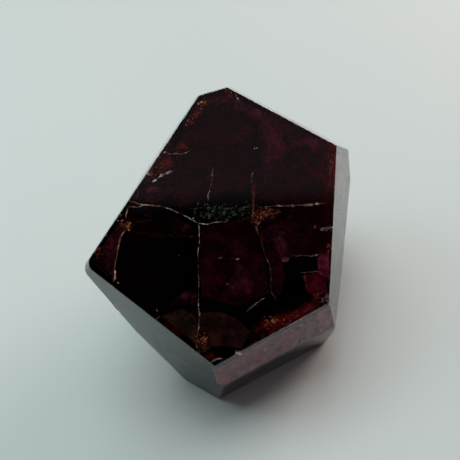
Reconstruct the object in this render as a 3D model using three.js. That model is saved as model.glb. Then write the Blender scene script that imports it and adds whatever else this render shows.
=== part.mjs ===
// Garnet crystal: one solid stone, sawn and polished into flat facets, standing on its flat base.
//
// The frame: millimetres, +Z up, the front of the stone faces -Y, the origin lies on the floor
// under the middle of the stone. The stone is grown as one piece, so it is one closed body:
// the room left over when every facet has cut the space around the heart of the stone.

import * as THREE from "three";

// ---------------------------------------------------------------- driving values

// The heart: the point inside the stone that every facet is measured from.
const HEART = new THREE.Vector3(-0.23, 0, 24);

// Each facet is a flat plane.
//   azimuth    which way it faces, degrees round from the front (-Y), plus towards the right (+X)
//   elevation  how far it looks up, degrees above level
//   reach      how far it lies from the heart, mm, measured square to the facet

// The table: the one large polished face, leaning back and a little to the right.
const TABLE = { azimuth: 20, elevation: 52, reach: 12.45 };

// The girdle under the table, seen from the front.
const LEFT = { azimuth: -31.7, elevation: -7, reach: 26.5 };
const FRONT = { azimuth: 28.2, elevation: 4.3, reach: 23.65 };
const RIGHT = { azimuth: 76.7, elevation: 12.5, reach: 22.4 };

// The crown behind the table: three facets that fall away to the back.
const CROWN_LEFT = { azimuth: -110.9, elevation: 29.2, reach: 22.5 };
const CROWN_TOP = { azimuth: -155.2, elevation: 49.7, reach: 30.35 };
const CROWN_RIGHT = { azimuth: 138.8, elevation: 45.5, reach: 27.65 };

// The foot: facets that run in under the stone to its base.
const UNDER_FRONT = { azimuth: 29.9, elevation: -14, reach: 26.85 };
const UNDER_RIGHT = { azimuth: 79, elevation: 1.7, reach: 24.85 };
const FOOT_RIGHT = { azimuth: 84, elevation: -8.4, reach: 26.35 };
const UNDER_LEFT = { azimuth: -108, elevation: -26.4, reach: 16.5 };
const FOOT_LEFT = { azimuth: -98, elevation: -37, reach: 19.8 };

// The back of the stone.
const BACK = { azimuth: -176, elevation: -4, reach: 27 };
const BACK_LEFT = { azimuth: -146, elevation: -9, reach: 22.5 };
const BACK_RIGHT = { azimuth: 128, elevation: 0, reach: 34.15 };
const FOOT_BACK = { azimuth: 152, elevation: -28, reach: 31.05 };

// The base it stands on: level, straight down from the heart to the floor.
const BASE = { azimuth: 0, elevation: -90, reach: HEART.z };

const FACETS = [
  TABLE, LEFT, FRONT, RIGHT,
  CROWN_LEFT, CROWN_TOP, CROWN_RIGHT,
  UNDER_FRONT, UNDER_RIGHT, FOOT_RIGHT, UNDER_LEFT, FOOT_LEFT,
  BACK, BACK_LEFT, BACK_RIGHT, FOOT_BACK,
  BASE,
];

// The left corner of the stone is worn round: the edge between two facets becomes a quarter round.
const WORN_EDGE = { between: [LEFT, CROWN_LEFT], radius: 2, steps: 7 };

// Polished garnet, nearly black in the hand.
const GARNET = { color: 0x2e060c, roughness: 0.06, metalness: 0 };

// Two corners nearer than this are the same corner, mm.
const SAME_CORNER = 1e-4;

// ---------------------------------------------------------------- geometry

/** The direction a facet looks in, from its azimuth and elevation. */
function facing({ azimuth, elevation }) {
  const turn = THREE.MathUtils.degToRad(azimuth);
  const rise = THREE.MathUtils.degToRad(elevation);
  return new THREE.Vector3(
    Math.cos(rise) * Math.sin(turn),
    -Math.cos(rise) * Math.cos(turn),
    Math.sin(rise),
  );
}

/** The plane of a facet; the stone lies on its negative side. */
function planeOf(facet) {
  const normal = facing(facet);
  return new THREE.Plane(normal, -(facet.reach + normal.dot(HEART)));
}

/** The one point where three planes meet, or null where two of them run parallel. */
function meeting(a, b, c) {
  const bc = new THREE.Vector3().crossVectors(b.normal, c.normal);
  const ca = new THREE.Vector3().crossVectors(c.normal, a.normal);
  const ab = new THREE.Vector3().crossVectors(a.normal, b.normal);
  const spread = a.normal.dot(bc);
  if (Math.abs(spread) < 1e-9) {
    return null;
  }
  return bc
    .multiplyScalar(-a.constant)
    .addScaledVector(ca, -b.constant)
    .addScaledVector(ab, -c.constant)
    .divideScalar(spread);
}

/** Planes that touch a round of the given radius laid along the edge of two facets. */
function roundedEdge({ between, radius, steps }) {
  const [first, second] = between.map(planeOf);
  const along = new THREE.Vector3().crossVectors(first.normal, second.normal).normalize();
  const axis = meeting(
    new THREE.Plane(first.normal, first.constant + radius),
    new THREE.Plane(second.normal, second.constant + radius),
    new THREE.Plane(along, -along.dot(HEART)),
  );
  const sweep = first.normal.angleTo(second.normal);
  return Array.from({ length: steps }, (_, step) => {
    const normal = first.normal.clone().applyAxisAngle(along, (sweep * (step + 1)) / (steps + 1));
    return new THREE.Plane(normal, -(normal.dot(axis) + radius));
  });
}

/** The corners of the stone that lie on one of its planes, in order round the facet. */
function outline(plane, planes) {
  const corners = [];
  const others = planes.filter((other) => other !== plane);
  others.forEach((second, place) => {
    for (const third of others.slice(place + 1)) {
      const point = meeting(plane, second, third);
      const inside = point && planes.every((cut) => cut.distanceToPoint(point) < SAME_CORNER);
      if (inside && corners.every((corner) => corner.distanceTo(point) > SAME_CORNER)) {
        corners.push(point);
      }
    }
  });
  const middle = corners
    .reduce((sum, corner) => sum.add(corner), new THREE.Vector3())
    .divideScalar(corners.length);
  const across = corners[0].clone().sub(middle).normalize();
  const up = new THREE.Vector3().crossVectors(plane.normal, across);
  const turnOf = (corner) => {
    const arm = corner.clone().sub(middle);
    return Math.atan2(arm.dot(up), arm.dot(across));
  };
  return corners.sort((one, two) => turnOf(one) - turnOf(two));
}

/** One closed body from the planes: every facet is a fan of triangles over its own outline. */
function cutStone(planes) {
  const positions = [];
  for (const plane of planes) {
    const corners = outline(plane, planes);
    for (let next = 1; next < corners.length - 1; next += 1) {
      for (const corner of [corners[0], corners[next], corners[next + 1]]) {
        positions.push(...corner.toArray());
      }
    }
  }
  const geometry = new THREE.BufferGeometry();
  geometry.setAttribute("position", new THREE.Float32BufferAttribute(positions, 3));
  geometry.computeVertexNormals();
  return geometry;
}

// ---------------------------------------------------------------- the part

const planes = [...FACETS.map(planeOf), ...roundedEdge(WORN_EDGE)];
const stone = new THREE.Mesh(cutStone(planes), new THREE.MeshStandardMaterial(GARNET));
stone.name = "garnet_stone";

const group = new THREE.Group();
group.name = "garnet_crystal";
group.add(stone);

export default group;
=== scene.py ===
"""Looks of a polished garnet crystal: a dark red, many-sided stone with what is sealed in it.

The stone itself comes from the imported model. This script gives it its softened edges, its clear
red depth and its polish, fills it with healed cracks, iron stains, cloudy veils, moss and grains,
and sets it on a pale floor under soft studio light.
"""

import logging
import math
from collections.abc import Sequence
from dataclasses import dataclass, field
from enum import Enum

import bmesh
import bpy
import numpy as np
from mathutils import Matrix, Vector

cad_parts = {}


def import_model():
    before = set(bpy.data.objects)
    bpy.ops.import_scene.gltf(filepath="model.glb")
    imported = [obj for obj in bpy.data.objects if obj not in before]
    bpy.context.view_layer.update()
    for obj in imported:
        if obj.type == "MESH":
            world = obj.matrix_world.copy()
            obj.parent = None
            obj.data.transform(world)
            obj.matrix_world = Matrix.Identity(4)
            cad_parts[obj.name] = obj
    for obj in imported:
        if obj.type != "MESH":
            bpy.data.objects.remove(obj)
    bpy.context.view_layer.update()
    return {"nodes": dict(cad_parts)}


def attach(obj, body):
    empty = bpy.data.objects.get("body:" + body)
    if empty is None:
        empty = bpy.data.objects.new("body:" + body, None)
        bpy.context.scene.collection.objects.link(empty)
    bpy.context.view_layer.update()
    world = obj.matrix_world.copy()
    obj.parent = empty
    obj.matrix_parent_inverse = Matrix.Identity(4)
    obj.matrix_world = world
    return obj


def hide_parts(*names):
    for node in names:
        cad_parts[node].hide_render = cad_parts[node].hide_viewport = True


MM = 0.001
CAD_NODE = "garnet_stone"
BODY = "root"

log = logging.getLogger("garnet")

Outline = Sequence[Sequence[float]]


# ---------------- small helpers


def linear(code: str) -> tuple[float, float, float]:
    """Turn an sRGB hex colour into linear red, green and blue.

    Args:
        code: the colour as "#rrggbb".

    Returns:
        The three linear parts, each from 0 to 1.
    """
    parts = np.array([int(code[i : i + 2], 16) for i in (1, 3, 5)]) / 255.0
    low = parts / 12.92
    high = ((parts + 0.055) / 1.055) ** 2.4
    return tuple(float(v) for v in np.where(parts <= 0.04045, low, high))


def add_node(
    tree: bpy.types.NodeTree,
    kind: str,
    settings: dict | None = None,
    links: dict | None = None,
) -> bpy.types.Node:
    """Add one node to a tree.

    Args:
        tree: the node tree that gets it.
        kind: the node's type name.
        settings: attribute names or input names and the values they take.
        links: input names or numbers and the output sockets that feed them.

    Returns:
        The new node.
    """
    node = tree.nodes.new(kind)
    for name, value in (settings or {}).items():
        if isinstance(name, str) and hasattr(node, name):
            setattr(node, name, value)
        else:
            node.inputs[name].default_value = value
    for name, source in (links or {}).items():
        tree.links.new(source, node.inputs[name])
    return node


def fill_ramp(ramp: bpy.types.Node, stops: tuple[tuple[float, str], ...]) -> None:
    """Give a colour ramp its stops.

    Args:
        ramp: the colour ramp node.
        stops: the stops, each a place from 0 to 1 and a hex colour.
    """
    elements = ramp.color_ramp.elements
    while len(elements) < len(stops):
        elements.new(1.0)
    for element, (place, code) in zip(elements, stops):
        element.position = place
        element.color = (*linear(code), 1.0)


def new_material(name: str) -> tuple[bpy.types.Material, bpy.types.NodeTree]:
    """Make a material with an empty node tree.

    Args:
        name: the material's name.

    Returns:
        The material and its node tree.
    """
    material = bpy.data.materials.new(name)
    material.use_nodes = True
    material.node_tree.nodes.clear()
    return material, material.node_tree


def put_in_scene(name: str, data: bpy.types.ID) -> bpy.types.Object:
    """Make an object and put it into the scene.

    Args:
        name: the object's name.
        data: its mesh, light or camera.

    Returns:
        The new object.
    """
    made = bpy.data.objects.new(name, data)
    bpy.context.scene.collection.objects.link(made)
    return made


def circle(turns: np.ndarray) -> np.ndarray:
    """Give the points of a circle of radius 1 at the given angles, in radians."""
    return np.stack([np.cos(turns), np.sin(turns)], axis=-1)


def direction(azimuth: float, elevation: float) -> np.ndarray:
    """Give the unit vector that looks a given way.

    Args:
        azimuth: degrees round from the front (-Y), plus towards the right (+X).
        elevation: degrees above level.

    Returns:
        The vector, as three numbers.
    """
    turn, rise = math.radians(azimuth), math.radians(elevation)
    flat = math.cos(rise)
    return np.array([flat * math.sin(turn), -flat * math.cos(turn), math.sin(rise)])


def corners(rows: Sequence[Sequence[float]] | np.ndarray) -> list[list[float]]:
    """Turn corners, one per row, into plain lists of numbers."""
    return [[float(value) for value in row] for row in rows]


# Smooth random fields: how many waves they have, how far these stray from the wavelength asked
# for, and what brings their mean to about 1.
WAVES = 6
WAVE_STRAY = (0.6, 1.6)
WAVE_GAIN = 1.8


def ripple(places: np.ndarray, wavelength: float, rng: np.random.Generator) -> np.ndarray:
    """Give a smooth random field: the mean of a few sine waves that run in random directions.

    Each wave is the sine of the place's component along its direction, over a wavelength near
    the one asked for, with a random phase.

    Args:
        places: points, one per row, in any number of dimensions.
        wavelength: the typical distance from crest to crest, in the same units.
        rng: where the random numbers come from.

    Returns:
        One value per point, mostly between -1 and 1.
    """
    ways = rng.normal(size=(WAVES, places.shape[-1]))
    ways /= np.linalg.norm(ways, axis=1, keepdims=True)
    turns = 2 * np.pi / (wavelength * rng.uniform(*WAVE_STRAY, WAVES))
    phases = rng.uniform(0, 2 * np.pi, WAVES)
    return np.sin(places @ (ways.T * turns) + phases).mean(axis=-1) * WAVE_GAIN


def zigzag(length: float, count: int, leg: float, rng: np.random.Generator) -> np.ndarray:
    """Give a random zigzag along a walk: normal random heights joined by straight lines.

    Args:
        length: how long the walk is.
        count: how many stops it has.
        leg: the distance from one random height to the next.
        rng: where the random numbers come from.

    Returns:
        One height per stop, with a spread of about 1.
    """
    knots = max(3, int(length / leg) + 2)
    return np.interp(np.linspace(0, knots - 1, count), np.arange(knots), rng.normal(size=knots))


def cut_evenly(knots: np.ndarray, count: int, closed: bool = False) -> np.ndarray:
    """Walk along straight lines from corner to corner and stop at equal distances.

    Args:
        knots: the corners, one per row.
        count: how many stops to make.
        closed: whether the walk goes back to its first corner, which is then not repeated.

    Returns:
        The stops, one per row.
    """
    if closed:
        knots = np.vstack([knots, knots[:1]])
    legs = np.linalg.norm(np.diff(knots, axis=0), axis=1)
    walked = np.concatenate([[0.0], np.cumsum(legs)])
    stops = np.linspace(0, walked[-1], count, endpoint=not closed)
    return np.stack([np.interp(stops, walked, side) for side in knots.T], axis=1)


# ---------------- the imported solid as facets


class Face(Enum):
    """The stone's facets that things are placed under: where each one looks, in degrees."""

    TABLE = (20.0, 52.0)
    LEFT = (-31.7, -7.0)
    FRONT = (28.2, 4.3)
    RIGHT = (76.7, 12.5)
    CROWN_LEFT = (-110.9, 29.2)
    CROWN_TOP = (-155.2, 49.7)
    CROWN_RIGHT = (138.8, 45.5)
    BACK = (-176.0, -4.0)
    BACK_LEFT = (-146.0, -9.0)
    BACK_RIGHT = (128.0, 0.0)


@dataclass(frozen=True)
class Ruler:
    """One facet with a ruler laid on it, to place things under it in millimetres.

    Its three ways are level along the facet, up its slope, and outward, and its zero is the
    middle of the facet.
    """

    middle: np.ndarray
    along: np.ndarray
    up: np.ndarray
    outward: np.ndarray

    def place(self, flat: np.ndarray, depth: np.ndarray) -> np.ndarray:
        """Turn places on the ruler into points in space.

        Args:
            flat: distances along and up, mm, in the last dimension.
            depth: how far each place lies under the facet, mm.

        Returns:
            The points, metres.
        """
        on_face = flat[..., :1] * self.along + flat[..., 1:] * self.up
        return self.middle + MM * (on_face - depth[..., None] * self.outward)


class PackedStone:
    """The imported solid, read as flat facets, which everything sealed in it is placed by."""

    SAME_WAY = math.radians(0.5)
    OTHER_WAY = math.radians(1.0)

    def __init__(self, node: bpy.types.Object) -> None:
        """Read the solid's triangles.

        Args:
            node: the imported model's object.
        """
        self.node = node
        mesh = node.data
        mesh.calc_loop_triangles()
        points = np.empty(len(mesh.vertices) * 3)
        mesh.vertices.foreach_get("co", points)
        index = np.empty(len(mesh.loop_triangles) * 3, dtype=np.int64)
        mesh.loop_triangles.foreach_get("vertices", index)
        first, second, third = points.reshape(-1, 3)[index.reshape(-1, 3)].transpose(1, 0, 2)
        square = np.cross(second - first, third - first)
        self.areas = np.linalg.norm(square, axis=1) / 2
        self.normals = square / np.linalg.norm(square, axis=1, keepdims=True)
        self.middles = (first + second + third) / 3

    def ruler(self, face: Face) -> Ruler:
        """Lay a ruler on one facet.

        Args:
            face: which facet.

        Returns:
            The ruler, with its zero at the facet's centre of area.
        """
        outward = direction(*face.value)
        on_it = self.normals @ outward > math.cos(self.SAME_WAY)
        middle = np.average(self.middles[on_it], axis=0, weights=self.areas[on_it])
        along = np.cross([0.0, 0.0, 1.0], outward)
        along /= np.linalg.norm(along)
        return Ruler(middle, along, np.cross(outward, along), outward)

    def room(self, face: Face) -> float:
        """Give the radius of the largest circle round a facet's middle.

        The distance from the middle to a neighbour's plane, measured in the facet, is its square
        distance over the sine of the angle between the two facets.

        Args:
            face: which facet.

        Returns:
            The radius, mm.
        """
        ruler = self.ruler(face)
        gap = np.einsum("ij,ij->i", self.normals, self.middles - ruler.middle)
        sine = np.linalg.norm(np.cross(self.normals, ruler.outward), axis=1)
        others = sine > math.sin(self.OTHER_WAY)
        return float((gap[others] / sine[others]).min() / MM)

    def keep_inside(self, points: np.ndarray, margin: float) -> np.ndarray:
        """Push points that stand out of the stone, or nearly, back under its facets.

        Args:
            points: the points, metres.
            margin: how deep under every facet they have to lie, mm.

        Returns:
            The points, each moved square to the facets that it was too near to.
        """
        for normal, middle in zip(self.normals, self.middles):
            over = points @ normal - (middle @ normal - margin * MM)
            points = points - np.maximum(over, 0.0)[..., None] * normal
        return points


# ---------------- closed bodies from rings


@dataclass
class Batch:
    """Many small closed bodies gathered into one piece."""

    name: str
    stone: PackedStone
    margin: float = 0.05
    points: list[np.ndarray] = field(default_factory=list)
    rims: list[np.ndarray] = field(default_factory=list)
    faces: list[list[int]] = field(default_factory=list)
    total: int = 0

    def add(self, rings: np.ndarray, start: np.ndarray, end: np.ndarray, rim: np.ndarray) -> None:
        """Add closed bodies: rings of points one after another, closed by a point at each end.

        Args:
            rings: points of shape (bodies, rings, points round a ring, 3), metres.
            start: the point that closes each body before its first ring, (bodies, 3).
            end: the point that closes each body after its last ring, (bodies, 3).
            rim: how near each ring lies to the body's rim, from 0 to 1, (rings,) or
                (rings, points round a ring).
        """
        bodies, rows, across, _ = rings.shape
        size = rows * across + 2
        points = np.concatenate(
            [rings.reshape(bodies, -1, 3), start[:, None], end[:, None]], axis=1
        ).reshape(-1, 3)
        grid = np.arange(rows * across).reshape(rows, across)
        nearer, further = grid[:-1], grid[1:]
        sides = np.stack(
            [nearer, np.roll(nearer, -1, 1), np.roll(further, -1, 1), further], axis=-1
        ).reshape(-1, 4)
        caps = [
            np.stack([np.full(across, pole), grid[row], np.roll(grid[row], -1)], axis=-1)
            for pole, row in ((size - 2, 0), (size - 1, -1))
        ]
        shift = self.total + size * np.arange(bodies)[:, None, None]
        self.faces += (sides + shift).reshape(-1, 4).tolist()
        for cap in caps:
            self.faces += (cap + shift).reshape(-1, 3).tolist()
        full = np.broadcast_to(rim[:, None] if rim.ndim == 1 else rim, (rows, across)).ravel()
        ends = [full[:across].min(), full[-across:].min()]
        self.rims.append(np.tile(np.concatenate([full, ends]), bodies))
        self.points.append(self.stone.keep_inside(points, self.margin))
        self.total += bodies * size

    def build(self, material: bpy.types.Material, smooth: bool = True) -> None:
        """Make the piece and tie it to the stone.

        Args:
            material: its finish.
            smooth: whether its faces are shaded as one curved surface.
        """
        mesh = bpy.data.meshes.new(self.name)
        mesh.from_pydata(np.concatenate(self.points).tolist(), [], self.faces)
        rim = mesh.attributes.new("rim", "FLOAT", "POINT")
        rim.data.foreach_set("value", np.concatenate(self.rims).astype(np.float32))
        work = bmesh.new()
        work.from_mesh(mesh)
        bmesh.ops.recalc_face_normals(work, faces=work.faces)
        work.to_mesh(mesh)
        work.free()
        if smooth:
            mesh.shade_smooth()
        else:
            mesh.shade_flat()
        mesh.materials.append(material)
        piece = put_in_scene(self.name, mesh)
        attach(piece, BODY)
        log.info("piece %s: %d points", self.name, self.total)


# ---------------- finishes


@dataclass(frozen=True)
class PolishedGarnet:
    """Almandine garnet, sawn flat and polished.

    The clear crystal swallows green at once and blue within a few millimetres, and lets red
    through for a centimetre or two, so what lies deep in it turns magenta, then dark red.
    """

    name: str = "polished_almandine_garnet"
    refraction: float = 1.79
    polish: float = 0.02
    surface_colour: str = "#ffffff"
    depth_colour: str = "#ed3aa7"
    density: float = 731.0

    def make(self) -> bpy.types.Material:
        """Build the material.

        Returns:
            The finished material.
        """
        material, tree = new_material(self.name)
        surface = add_node(
            tree,
            "ShaderNodeBsdfPrincipled",
            {
                "Base Color": (*linear(self.surface_colour), 1.0),
                "Roughness": self.polish,
                "IOR": self.refraction,
                "Transmission Weight": 1.0,
            },
        )
        depth = add_node(
            tree,
            "ShaderNodeVolumeAbsorption",
            {"Color": (*linear(self.depth_colour), 1.0), "Density": self.density},
        )
        add_node(
            tree,
            "ShaderNodeOutputMaterial",
            links={"Surface": surface.outputs[0], "Volume": depth.outputs[0]},
        )
        return material


@dataclass(frozen=True)
class Mottled:
    """A matt mineral whose colour is mottled, and may darken towards the rim of each body.

    Coarse and fine noise are added and pick a colour from the stops. A second noise of its own
    size frays the dark rim, so that a film ends in shreds and not on a line.
    """

    name: str
    stops: tuple[tuple[float, str], ...]
    coarse: float
    fine: float
    roughness: float = 0.85
    frayed: float = 0.0
    rim_tone: float = 0.03
    rim_limits: tuple[float, float] = (1.15, 1.6)
    shred_height: float = 1.5
    grain_share: float = 0.4
    coarse_detail: float = 3.0
    fine_detail: float = 2.0
    gloss: float = 0.2

    def make(self) -> bpy.types.Material:
        """Build the material.

        Returns:
            The finished material.
        """
        material, tree = new_material(self.name)
        where = add_node(tree, "ShaderNodeTexCoord").outputs["Object"]
        patches, grain = (
            add_node(
                tree,
                "ShaderNodeTexNoise",
                {"Scale": 1 / (size * MM), "Detail": detail},
                {"Vector": where},
            ).outputs[0]
            for size, detail in ((self.coarse, self.coarse_detail), (self.fine, self.fine_detail))
        )
        settings = {"data_type": "FLOAT", "Factor": self.grain_share}
        mixed = add_node(tree, "ShaderNodeMix", settings, {2: patches, 3: grain})
        ramp = add_node(tree, "ShaderNodeValToRGB", links={0: mixed.outputs[0]})
        fill_ramp(ramp, self.stops)
        colour = ramp.outputs[0]
        if self.frayed > 0:
            colour = self.darken_rim(tree, where, colour)
        surface = add_node(
            tree,
            "ShaderNodeBsdfPrincipled",
            {"Roughness": self.roughness, "Specular IOR Level": self.gloss},
            {"Base Color": colour},
        )
        add_node(tree, "ShaderNodeOutputMaterial", links={"Surface": surface.outputs[0]})
        return material

    def darken_rim(
        self,
        tree: bpy.types.NodeTree,
        where: bpy.types.NodeSocket,
        colour: bpy.types.NodeSocket,
    ) -> bpy.types.NodeSocket:
        """Darken a colour towards the rim, with a frayed limit.

        Args:
            tree: the material's nodes.
            where: the coordinates of the pattern.
            colour: the colour that is darkened.

        Returns:
            The darkened colour.
        """
        rim = add_node(tree, "ShaderNodeAttribute", {"attribute_name": "rim"})
        settings = {"Scale": 1 / (self.frayed * MM), "Detail": self.coarse_detail}
        shreds = add_node(tree, "ShaderNodeTexNoise", settings, {"Vector": where}).outputs[0]
        settings = {"operation": "MULTIPLY_ADD", 1: self.shred_height}
        links = {0: shreds, 2: rim.outputs["Fac"]}
        reach = add_node(tree, "ShaderNodeMath", settings, links).outputs[0]
        low, high = self.rim_limits
        settings = {"From Min": low, "From Max": high, "To Min": 1.0, "To Max": self.rim_tone}
        keep = add_node(tree, "ShaderNodeMapRange", settings, {"Value": reach}).outputs[0]
        settings = {"data_type": "RGBA", "blend_type": "MULTIPLY", "Factor": 1.0}
        return add_node(tree, "ShaderNodeMix", settings, {6: colour, 7: keep}).outputs[2]


# Clay and limonite that water left in the cracks: pale chalky spots in a brown line.
PALE_CLAY = Mottled(
    "pale_clay_in_cracks",
    ((0.35, "#2c1f1f"), (0.44, "#785e5a"), (0.52, "#ccb2aa"), (0.6, "#fff0ea")),
    coarse=1.0, fine=0.3,
)

# The same clay where iron has turned it ochre.
OCHRE_CLAY = Mottled(
    "ochre_clay_in_cracks",
    ((0.36, "#341a10"), (0.47, "#865440"), (0.55, "#cc9c84"), (0.64, "#ffe8d8")),
    coarse=1.0, fine=0.3,
)

# Cracks that have nearly healed: a thin grey-brown trace.
FAINT_TRACE = Mottled(
    "faint_trace_in_cracks",
    ((0.3, "#150a0a"), (0.5, "#4a3a38"), (0.7, "#8a7874")),
    coarse=1.5, fine=0.35,
)

# Goethite and limonite, rust that crept along the cracks: brown, orange and a few pale spots.
RUST = Mottled(
    "rust_stain",
    ((0.3, "#120301"), (0.45, "#3e1006"), (0.54, "#8a3210"), (0.6, "#d87838"), (0.68, "#ffcc98")),
    coarse=0.9, fine=0.25, frayed=0.5,
)

# Thin iron-brown skins on old fractures: barely lighter than the dark of the stone. The same
# brown also paints a reflection: the brown patch that the table mirrors low on its left.
BROWN_SKIN_AND_REFLECTION = Mottled(
    "iron_brown_skin_and_painted_reflection",
    ((0.34, "#180d08"), (0.48, "#352014"), (0.6, "#5a3a26")),
    coarse=3.0, fine=0.6,
)

# Haematite on a fracture close under the polish: blood red, with paler shreds.
RED_SKIN = Mottled(
    "haematite_red_skin",
    ((0.34, "#2c0a06"), (0.46, "#78200f"), (0.56, "#a84426"), (0.66, "#d89070")),
    coarse=1.6, fine=0.3, frayed=0.8,
)

# A healed fracture: a cloud of bubbles too fine to see, which greys the deep crystal a little.
DULL_VEIL = Mottled(
    "healed_fracture_veil",
    ((0.34, "#1c1414"), (0.48, "#3c2f2e"), (0.62, "#6c5858")),
    coarse=3.0, fine=0.5,
)

# The same kind of veil where the bubbles are denser: it lights up plum red.
PLUM_VEIL = Mottled(
    "dense_fracture_veil",
    ((0.36, "#30242a"), (0.48, "#6a5860"), (0.62, "#a08a92")),
    coarse=4.0, fine=0.7, frayed=1.6, rim_tone=0.3,
)

# A fresh fracture face inside the crystal, bright enough to glow crimson from the depth.
BRIGHT_VEIL = Mottled(
    "bright_fracture_face",
    ((0.36, "#5c484c"), (0.48, "#9a8a90"), (0.62, "#d8c8d0")),
    coarse=2.0, fine=0.4,
)

# A fracture face full of air, nearly white in itself, which makes the narrow facets glow.
AIRY_VEIL = Mottled(
    "air_filled_fracture",
    ((0.3, "#8c7c7c"), (0.5, "#d0c0c0"), (0.7, "#f8f0f0")),
    coarse=2.4, fine=0.5,
)

# Chlorite threads: dull green-grey moss.
MOSS = Mottled(
    "chlorite_moss",
    ((0.36, "#142a1c"), (0.47, "#3e664a"), (0.55, "#84b08c"), (0.63, "#d4f0d0")),
    coarse=0.8, fine=0.3,
)

# Loose crumbs of limonite: orange-brown to pale tan.
LIMONITE_CRUMB = Mottled(
    "limonite_crumb",
    ((0.3, "#7a2410"), (0.44, "#c25a30"), (0.52, "#f08c60"), (0.62, "#ffdccc")),
    coarse=0.7, fine=0.25,
)

# Grains of quartz and chipped crystal: nearly white. The same white also paints the glint of a
# bruise at the surface of the table.
WHITE_GRAIN_AND_GLINT = Mottled(
    "quartz_grain_and_painted_glint",
    ((0.3, "#b8aca8"), (0.5, "#e4dedc"), (0.7, "#ffffff")),
    coarse=0.6, fine=0.2,
)


@dataclass(frozen=True)
class CastFloor:
    """Pale cement floor, evenly coated and matt."""

    name: str = "pale_cement"
    colour: str = "#d8d6d6"
    roughness: float = 0.75

    def make(self) -> bpy.types.Material:
        """Build the material.

        Returns:
            The finished material.
        """
        material, tree = new_material(self.name)
        surface = add_node(
            tree,
            "ShaderNodeBsdfPrincipled",
            {"Base Color": (*linear(self.colour), 1.0), "Roughness": self.roughness},
        )
        add_node(tree, "ShaderNodeOutputMaterial", links={"Surface": surface.outputs[0]})
        return material


# ---------------- the stone


@dataclass
class StoneBody:
    """The stone itself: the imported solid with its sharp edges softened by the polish."""

    stone: PackedStone
    edge_width: float = 0.18 * MM
    edge_steps: int = 2
    sharpest_kept: float = 10.9
    same_point: float = 0.002 * MM
    same_facet: float = 0.5
    facet_weight: int = 100
    finish: PolishedGarnet = field(default_factory=PolishedGarnet)

    def build(self) -> None:
        """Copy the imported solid, merge it, make its facets whole and soften its edges."""
        mesh = bpy.data.meshes.new("garnet_body")
        work = bmesh.new()
        work.from_mesh(self.stone.node.data)
        bmesh.ops.remove_doubles(work, verts=work.verts, dist=self.same_point)
        limit = math.radians(self.same_facet)
        bmesh.ops.dissolve_limit(work, angle_limit=limit, verts=work.verts, edges=work.edges)
        work.to_mesh(mesh)
        work.free()
        piece = put_in_scene(mesh.name, mesh)
        soften = piece.modifiers.new("polished_edges", "BEVEL")
        soften.width = self.edge_width
        soften.segments = self.edge_steps
        soften.limit_method = "ANGLE"
        soften.angle_limit = math.radians(self.sharpest_kept)
        mesh.shade_smooth()
        flatten = piece.modifiers.new("flat_facets", "WEIGHTED_NORMAL")
        flatten.mode = "FACE_AREA"
        flatten.weight = self.facet_weight
        mesh.materials.clear()
        mesh.materials.append(self.finish.make())
        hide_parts(CAD_NODE)
        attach(piece, BODY)
        log.info("piece %s", piece.name)


# ---------------- cracks


class Filling(Enum):
    """What a crack is filled with."""

    PALE = PALE_CLAY
    OCHRE = OCHRE_CLAY
    FAINT = FAINT_TRACE


PALE, OCHRE, FAINT = Filling.PALE, Filling.OCHRE, Filling.FAINT


@dataclass(frozen=True)
class Crack:
    """One filled crack: its corners on a facet's ruler and its size, mm and degrees."""

    corners: Outline
    width: float = 0.16
    filling: Filling = PALE
    lean: float = 8.0
    depth: float = 1.4
    face: Face = Face.TABLE


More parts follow.
